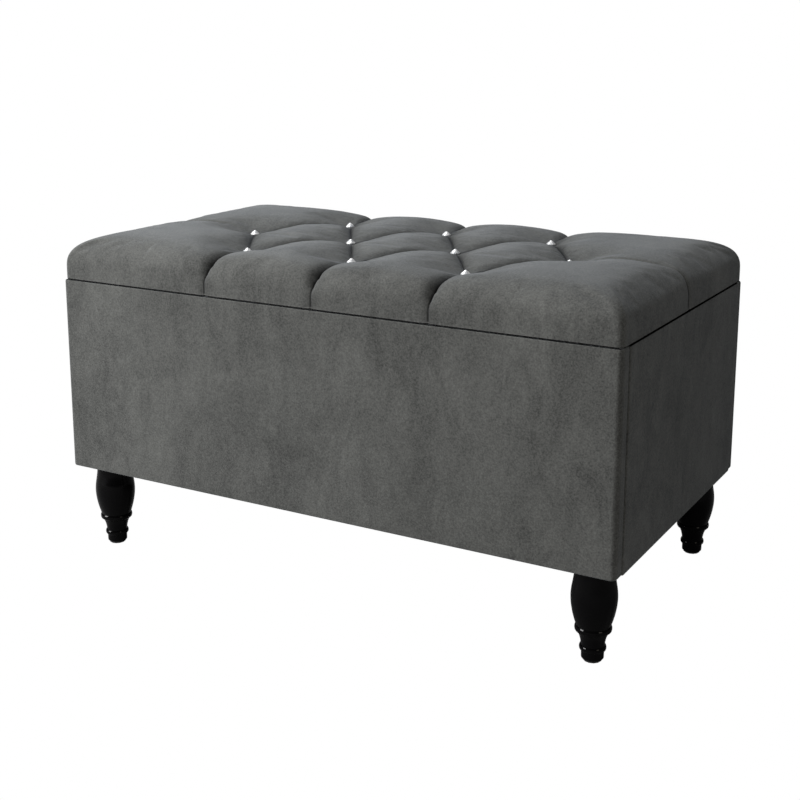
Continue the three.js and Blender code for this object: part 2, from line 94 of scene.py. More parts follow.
# ---- Material nodes ----
class Shader:
    """A Principled material and a short way to add nodes to it."""

    def __init__(self, name, **settings):
        self.material = bpy.data.materials.new(name)
        self.material.use_nodes = True
        self.tree = self.material.node_tree
        self.surface = self.tree.nodes["Principled BSDF"]
        for key, value in settings.items():
            self.surface.inputs[key.replace("_", " ")].default_value = value
        self.place = self.tree.nodes.new("ShaderNodeTexCoord").outputs["Object"]

    def add(self, kind, inputs=(), **attributes):
        node = self.tree.nodes.new("ShaderNode" + kind)
        for key, value in attributes.items():
            setattr(node, key, value)
        for key, value in dict(inputs).items():
            if isinstance(value, bpy.types.NodeSocket):
                self.tree.links.new(value, node.inputs[key])
            else:
                node.inputs[key].default_value = value
        return node

    def noise(self, scale, detail=2.0, rough=0.5, bend=0.0, stretch=None):
        """A noise value; stretch scales the coordinates first."""
        where = self.place
        if stretch:
            where = self.add("Mapping", {"Vector": where, "Scale": stretch}).outputs[0]
        settings = {"Vector": where, "Scale": scale, "Detail": detail, "Roughness": rough, "Distortion": bend}
        return self.add("TexNoise", settings).outputs["Fac"]

    def ramp(self, value, low, high, out_low=0.0, out_high=1.0):
        settings = {"Value": value, "From Min": low, "From Max": high, "To Min": out_low, "To Max": out_high}
        return self.add("MapRange", settings).outputs["Result"]

    def math(self, operation, a, b):
        return self.add("Math", {0: a, 1: b}, operation=operation).outputs[0]

    def mix(self, factor, a, b):
        node = self.add("Mix", {"Factor": factor}, data_type="RGBA")
        for socket, value in ((node.inputs[6], a), (node.inputs[7], b)):
            if isinstance(value, bpy.types.NodeSocket):
                self.tree.links.new(value, socket)
            else:
                socket.default_value = (*value, 1.0)
        return node.outputs[2]

    def colour(self, value):
        self.tree.links.new(value, self.surface.inputs["Base Color"])

    def rough(self, value):
        self.tree.links.new(value, self.surface.inputs["Roughness"])

    def bump(self, height, depth_mm, strength=1.0):
        node = self.add("Bump", {"Height": height, "Distance": depth_mm * MM, "Strength": strength})
        self.tree.links.new(node.outputs[0], self.surface.inputs["Normal"])


def velvet_material():
    s = Shader("velvet", Roughness=0.9, Sheen_Weight=0.15, Sheen_Roughness=0.45, Specular_IOR_Level=0.12)
    s.surface.inputs["Sheen Tint"].default_value = (0.84, 0.91, 1.0, 1.0)
    cloud = s.noise(6.0, 6.0, 0.62, 0.9, stretch=(1.0, 1.0, 0.8))
    stroke = s.noise(24.0, 6.0, 0.7, 1.8, stretch=(1.0, 1.0, 0.5))
    pile = s.noise(430.0, 4.0, 0.75)
    shade = s.math("ADD", s.ramp(cloud, 0.32, 0.68, -0.5, 0.5), s.ramp(stroke, 0.32, 0.68, -0.5, 0.5))
    shade = s.math("ADD", shade, s.ramp(pile, 0.32, 0.68, -1.0, 1.0))
    velvet_tone = s.mix(s.ramp(shade, -1.5, 1.5), (0.030, 0.0305, 0.029), (0.117, 0.1185, 0.112))
    # Painted shade: the fold attribute mixes the velvet towards near black in and beside the folds and round the
    # buttons.
    fold = s.add("Attribute", attribute_name="fold").outputs["Fac"]
    s.colour(s.mix(s.math("MULTIPLY", fold, 0.9), velvet_tone, (0.004, 0.004, 0.004)))
    s.rough(s.ramp(stroke, 0.3, 0.7, 0.82, 0.95))
    s.bump(s.math("ADD", pile, s.math("MULTIPLY", stroke, 0.8)), 0.35)
    return s.material


def seam_shade_material():
    """Painted seam shade: a near-black velvet without sheen for the velvet's edge in the seam, standing for the shade
    in the gap between lid and box.
    """
    s = Shader("velvet_painted_seam_shade", Roughness=0.95, Specular_IOR_Level=0.0)
    pile = s.noise(430.0, 4.0, 0.75)
    s.colour(s.mix(pile, (0.0014, 0.0014, 0.0014), (0.0044, 0.0044, 0.0044)))
    s.bump(pile, 0.3)
    return s.material


def cloth_material(name, dark, light, weave=900.0):
    """Non-woven cloth: a fine fibre mat with small thermal bonding dots."""
    s = Shader(name, Roughness=0.85, Sheen_Weight=0.15, Sheen_Roughness=0.4, Specular_IOR_Level=0.2)
    dots = s.add("TexVoronoi", {"Vector": s.place, "Scale": 420.0, "Randomness": 0.25}).outputs["Distance"]
    fibre = s.noise(weave, 4.0, 0.7, 2.0)
    patch = s.noise(14.0, 3.0)
    mixed = s.math("ADD", s.ramp(fibre, 0.3, 0.7, -0.3, 0.5), s.ramp(patch, 0.3, 0.7, 0.0, 0.5))
    s.colour(s.mix(mixed, dark, light))
    s.bump(s.math("ADD", s.ramp(dots, 0.1, 0.5), fibre), 0.18)
    return s.material


def lacquer_material():
    s = Shader("black_lacquer", Roughness=0.1, Specular_IOR_Level=0.09, Coat_Weight=0.07, Coat_Roughness=0.05)
    grain = s.noise(38.0, 5.0, 0.6, 0.6, stretch=(1.0, 1.0, 0.12))
    spray = s.noise(260.0, 2.0)
    s.colour(s.mix(grain, (0.0010, 0.0010, 0.0012), (0.0026, 0.0024, 0.0026)))
    s.rough(s.ramp(spray, 0.3, 0.7, 0.07, 0.12))
    s.bump(s.math("ADD", s.math("MULTIPLY", grain, 0.6), s.math("MULTIPLY", spray, 0.4)), 0.06)
    return s.material


def wood_material(name, dark, light, grain_along):
    s = Shader(name, Roughness=0.6, Specular_IOR_Level=0.3)
    ring = s.noise(55.0, 6.0, 0.6, 1.2, stretch=grain_along)
    pore = s.noise(500.0, 3.0, 0.6, 0.0, stretch=grain_along)
    s.colour(s.mix(s.math("ADD", s.math("MULTIPLY", ring, 0.75), s.math("MULTIPLY", pore, 0.35)), dark, light))
    s.rough(s.ramp(pore, 0.3, 0.7, 0.5, 0.7))
    s.bump(s.math("ADD", ring, pore), 0.2)
    return s.material


def chipboard_material():
    s = Shader("chipboard", Roughness=0.7, Specular_IOR_Level=0.25)
    chips = s.add("TexVoronoi", {"Vector": s.place, "Scale": 210.0, "Randomness": 1.0})
    flake = s.math("MULTIPLY", chips.outputs["Color"], 1.0)
    dust = s.noise(900.0, 3.0, 0.7)
    s.colour(s.mix(s.math("ADD", s.math("MULTIPLY", flake, 0.7), s.math("MULTIPLY", dust, 0.3)),
                   (0.25, 0.15, 0.065), (0.62, 0.45, 0.24)))
    s.rough(s.ramp(dust, 0.3, 0.7, 0.6, 0.8))
    s.bump(s.math("ADD", chips.outputs["Distance"], dust), 0.25)
    return s.material


def steel_material():
    s = Shader("steel", Metallic=1.0, Roughness=0.32)
    brushed = s.noise(160.0, 4.0, 0.6, 0.0, stretch=(0.15, 1.0, 1.0))
    worn = s.noise(45.0, 4.0, 0.6, 0.5)
    s.colour(s.mix(s.ramp(worn, 0.35, 0.7), (0.17, 0.175, 0.18), (0.29, 0.295, 0.30)))
    s.rough(s.math("ADD", s.ramp(brushed, 0.3, 0.7, 0.44, 0.56), s.ramp(worn, 0.3, 0.7, 0.0, 0.16)))
    s.bump(brushed, 0.03)
    return s.material


def crystal_material():
    s = Shader("crystal", Metallic=0.15, Roughness=0.18, Specular_IOR_Level=0.9, Coat_Weight=1.0, Coat_Roughness=0.03)
    facet = s.noise(260.0, 1.0, 0.5)
    s.colour(s.mix(s.ramp(facet, 0.35, 0.65), (0.55, 0.57, 0.60), (1.0, 1.0, 1.0)))
    s.rough(s.ramp(facet, 0.3, 0.7, 0.06, 0.16))
    return s.material


def plastic_material(name, dark, light, rough):
    s = Shader(name, Roughness=rough, Specular_IOR_Level=0.4)
    grain = s.noise(700.0, 3.0, 0.6)
    scuff = s.noise(60.0, 4.0, 0.7, 1.0)
    s.colour(s.mix(s.ramp(scuff, 0.4, 0.75), dark, light))
    s.rough(s.ramp(grain, 0.3, 0.7, rough - 0.06, rough + 0.06))
    s.bump(grain, 0.05)
    return s.material


VELVET = velvet_material()
# The painted seam shade: near-black velvet standing for the shade in the gap between lid and box.
SEAM_SHADE = seam_shade_material()
BLACK_CLOTH = cloth_material("black_cloth", (0.008, 0.008, 0.009), (0.022, 0.022, 0.024))
LACQUER = lacquer_material()
CHIPBOARD = chipboard_material()
PINE = wood_material("pine", (0.42, 0.26, 0.10), (0.72, 0.53, 0.28), (1.0, 1.0, 0.08))
STEEL = steel_material()
CRYSTAL = crystal_material()
RUBBER = plastic_material("rubber", (0.006, 0.006, 0.006), (0.02, 0.02, 0.02), 0.75)
PLASTIC = plastic_material("plastic", (0.012, 0.012, 0.013), (0.04, 0.04, 0.04), 0.5)


# ---- Mesh helpers ----
def piece(name, points, faces, material, body, smooth=True):
    """A mesh object from points in millimetres, riding on a body."""
    mesh = bpy.data.meshes.new(name)
    mesh.from_pydata([tuple(float(c) * MM for c in p) for p in points], [], [tuple(int(i) for i in f) for f in faces])
    mesh.validate()
    mesh.polygons.foreach_set("use_smooth", [smooth] * len(mesh.polygons))
    mesh.materials.append(material)
    obj = bpy.data.objects.new(name, mesh)
    scene.collection.objects.link(obj)
    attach(obj, body)
    return obj


def eased(values, straight, ease=60.0):
    """Places along a side whose straight part ends at +-straight: only those near the corners move."""
    values = np.asarray(values, float)
    full = abs(values).max()
    keep = min(full, straight) - ease
    size = abs(values)
    moved = np.where(size > keep, keep + (size - keep) * (straight - keep) / (full - keep), size)
    return np.sign(values) * moved


def loop(half_u, half_v, radius, runs, corner=7):
    """A rounded rectangle as (u, v) points, counter-clockwise from the low left of the low side."""
    low_side = eased(runs[0], half_u - radius)
    high_side = eased(runs[1], half_v - radius)
    points = []
    sides = (
        ([(u, -half_v) for u in low_side], (1, -1), -90),
        ([(half_u, v) for v in high_side], (1, 1), 0),
        ([(u, half_v) for u in low_side[::-1]], (-1, 1), 90),
        ([(-half_u, v) for v in high_side[::-1]], (-1, -1), 180),
    )
    for run, (sign_u, sign_v), turn in sides:
        points += run
        for k in range(1, corner):
            angle = math.radians(turn + 90 * k / corner)
            points.append(
                (
                    sign_u * (half_u - radius) + radius * math.cos(angle),
                    sign_v * (half_v - radius) + radius * math.sin(angle),
                )
            )
    return np.array(points)


def run_of(half, step, clusters=(), offsets=(0.0,)):
    """Places from -half to half, step apart, with extra ones at the offsets about each cluster."""
    fixed = sorted({round(c + s * o, 3) for c in clusters for o in offsets for s in (-1, 1) if abs(c + s * o) < half})
    fixed = [-half] + fixed + [half]
    places = [fixed[0]]
    for a, b in zip(fixed, fixed[1:]):
        count = max(1, round((b - a) / step))
        places += [a + (b - a) * k / count for k in range(1, count + 1)]
    return places


def walls(count, loops, flip=False):
    """Quads between loops that each have count points in order."""
    faces = []
    for k in range(loops - 1):
        for i in range(count):
            j = (i + 1) % count
            quad = (k * count + i, k * count + j, (k + 1) * count + j, (k + 1) * count + i)
            faces.append(quad[::-1] if flip else quad)
    return faces


class Scatter:
    """Plan points kept apart from each other, found again by a coarse grid of cells."""

    CELL = 8.0

    def __init__(self):
        self.points, self.owner, self.cells = [], [], {}

    def near(self, p, gap, owner=None):
        cx, cy = int(p[0] // self.CELL), int(p[1] // self.CELL)
        for i in (cx - 1, cx, cx + 1):
            for j in (cy - 1, cy, cy + 1):
                for k in self.cells.get((i, j), ()):
                    if owner is not None and self.owner[k] == owner:
                        continue
                    q = self.points[k]
                    if (q[0] - p[0]) ** 2 + (q[1] - p[1]) ** 2 < gap * gap:
                        return True
        return False

    def add(self, p, gap=0.0, owner=None):
        """The new point's number, or None where another owner's point is nearer than gap."""
        if gap and self.near(p, gap, owner):
            return None
        self.points.append((float(p[0]), float(p[1])))
        self.owner.append(owner)
        key = (int(p[0] // self.CELL), int(p[1] // self.CELL))
        self.cells.setdefault(key, []).append(len(self.points) - 1)
        return len(self.points) - 1


def fill(outline_count, scatter, lines=()):
    """Triangles inside the scatter's first outline_count points, with the lines (pairs of numbers) kept as edges.
    Returns the plan points, in the scatter's order, and the faces."""
    edges = [(i, (i + 1) % outline_count) for i in range(outline_count)] + list(lines)
    coords, _, faces, origin, _, _ = delaunay_2d_cdt([Vector(p) for p in scatter.points], edges, [], 1, 1e-4, True)
    number, points = {}, list(scatter.points)
    for k, old in enumerate(origin):
        if old:
            number[k] = old[0]
        else:
            number[k] = len(points)
            points.append(tuple(coords[k]))
    return points, [tuple(number[i] for i in f) for f in faces]


def hexagonal(half_x, half_y, step):
    """Points of a triangular grid over a plan rectangle."""
    row_step = step * math.sqrt(3) / 2
    rows = int(half_y / row_step)
    for r in range(-rows, rows + 1):
        shift = 0.5 * step * (r % 2)
        count = int(half_x / step) + 1
        for c in range(-count, count + 1):
            x = c * step + shift
            if abs(x) <= half_x:
                yield x, r * row_step


def inside_loop(p, half_u, half_v, margin):
    return abs(p[0]) < half_u - margin and abs(p[1]) < half_v - margin


def paint_seam_shade(obj, marked):
    """Gives the faces whose points are all marked the painted seam shade material."""
    obj.data.materials.append(SEAM_SHADE)
    for polygon in obj.data.polygons:
        if all(marked[i] for i in polygon.vertices):
            polygon.material_index = 1


# ---- Seat: the buttoned velvet over its foam ----
SEAM_MID = RIM + 1.0
SEAT_HALF_X, SEAT_HALF_Y = SEAT_HIGH[0], SEAT_HIGH[1]
SEAT_WALL = 20.0  # straight side above the seam
SEAT_CROWN = 38.5  # rise from the side to the flat top
EDGE_RISE, EDGE_REACH = 30.0, 27.0  # the rounded edge's part of the rise, and how far in it goes
SLOW_REACH = 95.0  # how far in the rest of the rise goes
FOLD_REACH = 90.0  # how far in the bottoms of the folds over the front and back edges rise
FOLD_POWER = 2.41
CORNER_RADIUS = 9.0
LIP_RADIUS = 1.0
LIP_LOW = 405.45  # the pile's underside at the outer edge
RING_INSETS = (0.3, 1.0, 2.2, 4.0, 6.5, 10.0, 14.0, 19.0, 24.5, 30.0)
INNER_INSET = RING_INSETS[-1]
LEAF_CLEAR = 408.85  # underside of the seat over a hinge leaf
LEAF_HALF = 32.0
HINGE_X = 250.0


def crown(inset):
    """Height of the seat's plain surface over the seam's middle."""
    edge = np.clip(1 - np.asarray(inset, float) / EDGE_REACH, 0, 1)
    slow = np.clip(1 - np.asarray(inset, float) / SLOW_REACH, 0, 1)
    return SEAT_WALL + EDGE_RISE * np.sqrt(1 - edge**2.2) + (SEAT_CROWN - EDGE_RISE) * (1 - slow**2)


def fold_bottom(inset):
    """The same for the line that a fold over the front or back edge follows, before its own depth."""
    part = np.clip(1 - np.asarray(inset, float) / FOLD_REACH, 0, 1)
    return SEAT_WALL + SEAT_CROWN * np.sqrt(1 - part**FOLD_POWER)


def seat_inset(x, y):
    """Distance in from the seat's sides, smoothed where two sides are equally near."""
    dx, dy = SEAT_HALF_X - abs(x), SEAT_HALF_Y - abs(y)
    return (dx**-5.0 + dy**-5.0) ** -0.2


def shoulder(t):
    """1 in a crease and 0 a width away, with a sharp bottom and a round shoulder."""
    t = np.clip(t, 0, 1)
    return 1 - np.sqrt(1 - (1 - t) ** 2)


def dome(t):
    return (1 - np.clip(t, 0, 1)) ** 2


DIAGONALS = [
    (np.array(m), np.array(o)) for m in MIDDLE_ROW for o in OUTER_ROWS if abs(m[0] - o[0]) < 0.6 * BUTTON_STEP
]
EDGE_CREASES = [(np.array(b), math.copysign(1, b[1])) for b in OUTER_ROWS]
END_BUTTONS = [MIDDLE_ROW[0], MIDDLE_ROW[-1]]
CRYSTAL_BASE = box_mm("crystal_button_1")[1][2] - 7.0
BUTTON_DEPTH = 14.9
CREASE_DEPTH = 12.5
CREASE_WIDTH = 17.0
DOME_WIDTH = 66.0
DOME_SHARE = 0.4
DIMPLE_REACH = 72.0
DIMPLE_FLOOR = 7.0


def sunk(points):
    """How far each point of the plain seat goes in along its normal. points are x, y, z in millimetres."""
    x, y, z = points.T
    drop = np.clip(SEAM_MID + SEAT_WALL + SEAT_CROWN - z, 0, None)
    total, depths, near, wide = np.zeros(len(x)), np.zeros(len(x)), np.zeros(len(x)), np.zeros(len(x))

    def crease(distance, width, depth, reach):
        nonlocal total, depths, near, wide
        t = np.maximum(distance / width, 0.004)
        weight = t**-3.0
        total += weight
        depths += weight * depth
        near += weight
        wide += np.maximum(distance / reach, 0.004) ** -3.0

    for a, b in DIAGONALS:
        along = b - a
        length = np.linalg.norm(along)
        u = ((x - a[0]) * along[0] + (y - a[1]) * along[1]) / length**2
        u = np.clip(u, 0, 1)
        distance = np.hypot(x - a[0] - u * along[0], y - a[1] - u * along[1])
        depth = CREASE_DEPTH + (BUTTON_DEPTH - CREASE_DEPTH) * np.abs(2 * u - 1) ** 2.5
        crease(distance, CREASE_WIDTH, depth, DOME_WIDTH)
    for b, side in EDGE_CREASES:
        out = np.clip((y - b[1]) * side, 0, None)
        distance = np.hypot(x - b[0], np.clip((b[1] - y) * side, 0, None))
        depth = np.interp(out, [0, 22, 60, 200], [BUTTON_DEPTH, 12.0, 11.0, 11.0])
        depth = np.minimum(depth, np.interp(drop, [0, 8, 30, 39, 57], [16.0, 10.5, 7.5, 2.2, 2.1]))
        inset = np.clip(SEAT_HALF_Y - abs(y), 0, None)
        depth = depth + np.where(drop < 36, crown(inset) - fold_bottom(inset), 0)
        width = np.interp(drop, [0, 12, 30, 39], [CREASE_WIDTH + 3, 19.0, 14.0, 8.0])
        crease(distance, width, depth, DOME_WIDTH)
    for b in END_BUTTONS:
        side = math.copysign(1, b[0])
        out = np.clip((x - b[0]) * side, 0, None)
        distance = np.hypot(y - b[1], np.clip((b[0] - x) * side, 0, None))
        depth = np.interp(out, [0, 14, 34, 90, 200], [BUTTON_DEPTH, 8.5, 3.2, 2.2, 2.6])
        depth = np.maximum(depth, np.interp(drop, [6, 20, 32, 39], [0.0, 3.4, 3.4, 2.1]))
        width = np.interp(out, [0, 40, 120], [CREASE_WIDTH, 15.0, 10.0])
        crease(distance, width, depth, DOME_WIDTH * 0.7)
    depth = depths / total
    t, s = near ** (-1 / 3.0), wide ** (-1 / 3.0)
    dimple = np.zeros(len(x))
    for b in BUTTONS:
        r = np.clip(np.hypot(x - b[0], y - b[1]) - DIMPLE_FLOOR, 0, None)
        dimple = np.maximum(dimple, BUTTON_DEPTH * np.clip(1 - r / DIMPLE_REACH, 0, 1) ** 1.7)
    dimple *= np.clip(1 - drop / 22.0, 0, 1)
    share = (1 - DOME_SHARE) * shoulder(t) + DOME_SHARE * dome(s)
    inward = dimple + np.clip(depth - dimple, 0, None) * share
    return inward - 0.8 * (1 - dome(s)) * np.clip((z - SEAM_MID - 25) / 15, 0, 1)


def seat_mesh():
    near_crease = (0.0, 0.9, 2.2, 4.2, 7.0, 10.5, 15.0, 20.0)
    radius_out, radius_in = CORNER_RADIUS, 15.4
    edge_x = sorted({round(b[0], 3) for b in OUTER_ROWS})
    hinge_x = [s * HINGE_X + o for s in (-1, 1) for o in (-LEAF_HALF, LEAF_HALF)]
    run_x = run_of(SEAT_HALF_X - radius_out, 8.0, edge_x, near_crease)
    run_x = sorted(
        [v for v in run_x if min(abs(v - h) for h in hinge_x) > 2.2] + [h + o for h in hinge_x for o in (-0.6, 0.6)]
    )
    run_y = run_of(SEAT_HALF_Y - radius_out, 8.0, (0.0,), near_crease)
    runs = (run_x, run_y)

    profile = [(28.0, 408.15), (28.0, 407.0), (22.0, 407.0), (20.0, 407.0), (10.0, 407.0)]
    profile += [(4.5, 407.0), (3.0, 407.0), (1.5, 407.0), (1.2, LIP_LOW), (LIP_RADIUS, LIP_LOW)]
    profile += [(LIP_RADIUS * (1 - math.sin(a)), LIP_LOW + LIP_RADIUS * (1 - math.cos(a))) for a in (0.5, 1.05, math.pi / 2)]
    profile += [(0.0, 408.4), (0.0, 410.2)]
    profile += [(0.0, z) for z in (412.5, 416.5, 421.0, SEAM_MID + SEAT_WALL)]
    profile += [(inset, SEAM_MID + float(crown(inset))) for inset in RING_INSETS]
    rings = []
    for inset, z in profile:
        radius = radius_out + (radius_in - radius_out) * min(inset, INNER_INSET) / INNER_INSET
        plan = loop(SEAT_HALF_X - inset, SEAT_HALF_Y - inset, radius, runs)
        rings.append(np.column_stack([plan, np.full(len(plan), z)]))
    count = len(rings[0])
    points = np.concatenate(rings)
    faces = walls(count, len(rings))

    # The top inside the last ring
    scatter = Scatter()
    for p in rings[-1]:
        scatter.add(p[:2])
    half_u, half_v = SEAT_HALF_X - INNER_INSET, SEAT_HALF_Y - INNER_INSET
    centres = []
    for n, b in enumerate(BUTTONS):
        scatter.add(b, owner=f"button{n}")
        for r, around in ((2.6, 8), (5.0, 12), (6.6, 16), (8.2, 18), (10.0, 20)):
            for k in range(around):
                a = 2 * math.pi * (k + 0.5 * (around % 4)) / around
                scatter.add((b[0] + r * math.cos(a), b[1] + r * math.sin(a)), owner=f"button{n}")
    lines = []
    features = [(a, b, 11.0, 11.0) for a, b in DIAGONALS]
    ring_low, ring_high = -half_v, half_v
    for b, side in EDGE_CREASES:
        features.append((b, np.array((b[0], side * half_v)), 11.0, 0.0))
    for b in END_BUTTONS:
        side = math.copysign(1, b[0])
        features.append((np.array(b), np.array((side * half_u, 0.0)), 11.0, 0.0))

    def nearest_feature(p):
        best, which = 1e9, None
        for n, (a, b, _, _) in enumerate(features):
            along = b - a
            u = min(max(float(np.dot(np.array(p) - a, along) / np.dot(along, along)), 0), 1)
            d = float(np.linalg.norm(np.array(p) - a - u * along))
            if d < best:
                best, which = d, n
        return best, which

    for n, (a, b, trim_a, trim_b) in enumerate(features):
        length = float(np.linalg.norm(b - a))
        along = (b - a) / length
        across = np.array((-along[1], along[0]))
        steps = max(2, round((length - trim_a - trim_b) / 4.6))
        places = [trim_a + (length - trim_a - trim_b) * k / steps for k in range(steps + 1)]
        if trim_b == 0.0:
            places = places[:-1]
        before = None
        for s in places:
            number = scatter.add(a + s * along, owner=n)
            if before is not None:
                lines.append((before, number))
            before = number
        for offset in near_crease[1:]:
            for k, s in enumerate(places):
                shift = 0.5 * (places[1] - places[0]) * (near_crease.index(offset) % 2)
                for sign in (-1, 1):
                    p = a + (s + shift) * along + sign * offset * across
                    if not inside_loop(p, half_u, half_v, 2.5):
                        continue
                    if min(math.hypot(p[0] - q[0], p[1] - q[1]) for q in BUTTONS) < 11.5:
                        continue
                    distance, which = nearest_feature(p)
                    if which != n:
                        continue
                    scatter.add(p, gap=max(1.0, 0.35 * offset), owner=n)
    for p in hexagonal(half_u, half_v, 7.5):
        if inside_loop(p, half_u, half_v, 3.5):
            scatter.add(p, gap=5.6, owner=None)

    plan, top_faces = fill(count, scatter, lines)
    start = len(points) - count
    plan = np.array(plan[count:])
    z = SEAM_MID + crown(seat_inset(plan[:, 0], plan[:, 1]))
    points = np.concatenate([points, np.column_stack([plan, z])])
    for f in top_faces:
        faces.append(tuple(start + i for i in f))
    # The hidden cap over the lip
    scatter = Scatter()
    for p in rings[0]:
        scatter.add(p[:2])
    for p in hexagonal(SEAT_HALF_X, SEAT_HALF_Y, 24.0):
        if inside_loop(p, SEAT_HALF_X - profile[0][0], SEAT_HALF_Y - profile[0][0], 12.0):
            scatter.add(p)
    cap, cap_faces = fill(count, scatter)
    start = len(points) - count
    points = np.concatenate([points, [(x, y, profile[0][1]) for x, y in cap[count:]]])
    faces += [tuple(i if i < count else start + i for i in f)[::-1] for f in cap_faces]
    return points, faces


def vertex_normals(points, faces):
    mesh = bpy.data.meshes.new("normals")
    mesh.from_pydata([tuple(p) for p in points], [], faces)
    out = np.empty(len(points) * 3)
    mesh.vertices.foreach_get("co", out)
    normals = np.array([n.vector for n in mesh.vertex_normals])
    bpy.data.meshes.remove(mesh)
    return normals


def seat_shape():
    points, faces = seat_mesh()
    normals = vertex_normals(points, faces)
    normals[:, 2] = np.where(points[:, 2] > SEAM_MID + 45, np.maximum(normals[:, 2], 0.9), normals[:, 2])
    side = points[:, 2] > 407.3
    inset = np.minimum(SEAT_HALF_X - abs(points[:, 0]), SEAT_HALF_Y - abs(points[:, 1]))
    # Faces at the lip's underside, which get the painted seam shade.
    lip = (points[:, 2] < LIP_LOW + LIP_RADIUS + 0.3) & (inset < 1.6)
    inward = np.where(side, sunk(points), 0)
    points = points - normals * inward[:, None]
    # Notches where the edge creases meet the seam
    x, y, z = points.T
    for b, sign in EDGE_CREASES:
        notch = np.clip(1 - abs(x - b[0]) / 7.0, 0, 1) ** 2 * np.clip(1 - (z - 407.0) / 9.0, 0, 1) * (y * sign > SEAT_HALF_Y - 12)
        points[:, 2] += 0.9 * notch
    for sign in (-1, 1):
        notch = np.clip(1 - abs(y) / 6.0, 0, 1) ** 2 * np.clip(1 - (z - 407.0) / 9.0, 0, 1) * (x * sign > SEAT_HALF_X - 12)
        points[:, 2] += 0.7 * notch
    # Room for the hinge leaves: no hanging edge beside them, and a step up over them
    by_leaf = (abs(abs(points[:, 0]) - HINGE_X) < LEAF_HALF + 6) & (points[:, 1] > 216.5)
    rise = 407.0 - LIP_LOW
    lifted = points[:, 2] + rise * np.clip((410.2 - points[:, 2]) / (410.2 - LIP_LOW - LIP_RADIUS), 0, 1)
    lifted = np.where(inset < LIP_RADIUS + 0.05, lifted, np.maximum(points[:, 2], 407.0))
    points[by_leaf, 2] = lifted[by_leaf]
    over_leaf = (abs(abs(points[:, 0]) - HINGE_X) < LEAF_HALF) & (points[:, 1] > 216.5)
    low = over_leaf & (points[:, 2] < LEAF_CLEAR + 2)
    points[low, 2] = LEAF_CLEAR + 0.35 * (points[low, 2] - 407.0)
    return points, faces, lip


DEEP_FOLDS = DIAGONALS + [(b, np.array((b[0], side * SEAT_HALF_Y))) for b, side in EDGE_CREASES]
END_FOLDS = [(np.array(b), np.array((math.copysign(SEAT_HALF_X, b[0]), 0.0))) for b in END_BUTTONS]


def plan_reach(x, y, folds):
    """Distance in plan to the nearest of the folds."""
    reach = np.full(len(x), 1e9)
    for a, b in folds:
        along = b - a
        u = np.clip(((x - a[0]) * along[0] + (y - a[1]) * along[1]) / np.dot(along, along), 0, 1)
        reach = np.minimum(reach, np.hypot(x - a[0] - u * along[0], y - a[1] - u * along[1]))
    return reach


def painted_fold_shade(points):
    """Painted shade: 1 in and beside a fold and round a button, where shade falls, and 0 on the open velvet; in the
    folds it also stands for pile pressed together.
    """
    x, y, z = points.T
    deep = plan_reach(x, y, DEEP_FOLDS)
    drop = SEAM_MID + SEAT_WALL + SEAT_CROWN - z
    line = np.interp(drop, [14, 32], [TOP_LINE, FOLD_LINE])
    soft = np.interp(drop, [14, 32], [TOP_SHADE, SOFT_SHADE])
    shade = np.maximum(np.exp(-((deep / line) ** 2)), soft * np.exp(-((deep / SOFT_LINE) ** 2)))
    lower = np.clip((drop - 12) / 25, 0, 1)
    shade = np.maximum(shade, lower * np.exp(-((plan_reach(x, y, END_FOLDS) / FOLD_LINE) ** 2)))
    for b in BUTTONS:
        shade = np.maximum(shade, np.clip((8.6 - np.hypot(x - b[0], y - b[1])) / 1.5, 0, 1) * (z > SEAM_MID + 30))
    return shade * (z > 407.5)


# Widths and strengths of the painted shade along the folds: a narrow line and a softer, wider band.
TOP_LINE, FOLD_LINE, SOFT_LINE, TOP_SHADE, SOFT_SHADE = 3.0, 1.6, 11.0, 0.46, 0.3


def settled(points, faces):
    """The seat's points after Blender's Cloth has let the velvet swell between its creases, held at the creases,
    the buttons and the lower sides, and moved by SWELL_CAP at most."""
    x, y, z = points.T
    reach = np.minimum(plan_reach(x, y, DEEP_FOLDS), plan_reach(x, y, END_FOLDS))
    free = np.clip((reach - 1.2) / 6.0, 0, 1) * np.clip((z - SEAM_MID - 24) / 18.0, 0, 1)
    for b in BUTTONS:
        free *= np.clip((np.hypot(x - b[0], y - b[1]) - 10.0) / 12.0, 0, 1)
    mesh = bpy.data.meshes.new("settling")
    mesh.from_pydata([tuple(p * MM) for p in points], [], faces)
    obj = bpy.data.objects.new("settling", mesh)
    scene.collection.objects.link(obj)
    held = obj.vertex_groups.new(name="held")
    for i, share in enumerate(free):
        held.add([i], 1.0 - float(share), "REPLACE")
    cloth = obj.modifiers.new("cloth", "CLOTH")
    settings = cloth.settings
    settings.quality = 5
    settings.vertex_group_mass = "held"
    settings.use_pressure = True
    settings.uniform_pressure_force = PRESSURE
    settings.shrink_min = -SLACK
    settings.effector_weights.gravity = 0.0
    cloth.collision_settings.use_collision = False
    cloth.point_cache.frame_start, cloth.point_cache.frame_end = 1, SETTLE_FRAMES
    for step in range(1, SETTLE_FRAMES + 1):
        scene.frame_set(step)
    shown = obj.evaluated_get(bpy.context.evaluated_depsgraph_get()).to_mesh()
    flat = np.empty(len(points) * 3)
    shown.vertices.foreach_get("co", flat)
    scene.frame_set(1)
    bpy.data.objects.remove(obj)
    bpy.data.meshes.remove(mesh)
    move = flat.reshape(-1, 3) / MM - points
    size = np.linalg.norm(move, axis=1)
    capped = SWELL_CAP * np.tanh(size / SWELL_CAP)
    return points + move * (capped / np.maximum(size, 1e-9))[:, None] * (free > 0)[:, None]


PRESSURE = 4.0
SLACK = 0.006
SETTLE_FRAMES = 20
SWELL_CAP = 5.0
seat_points, seat_faces, seat_seam_shade_mask = seat_shape()
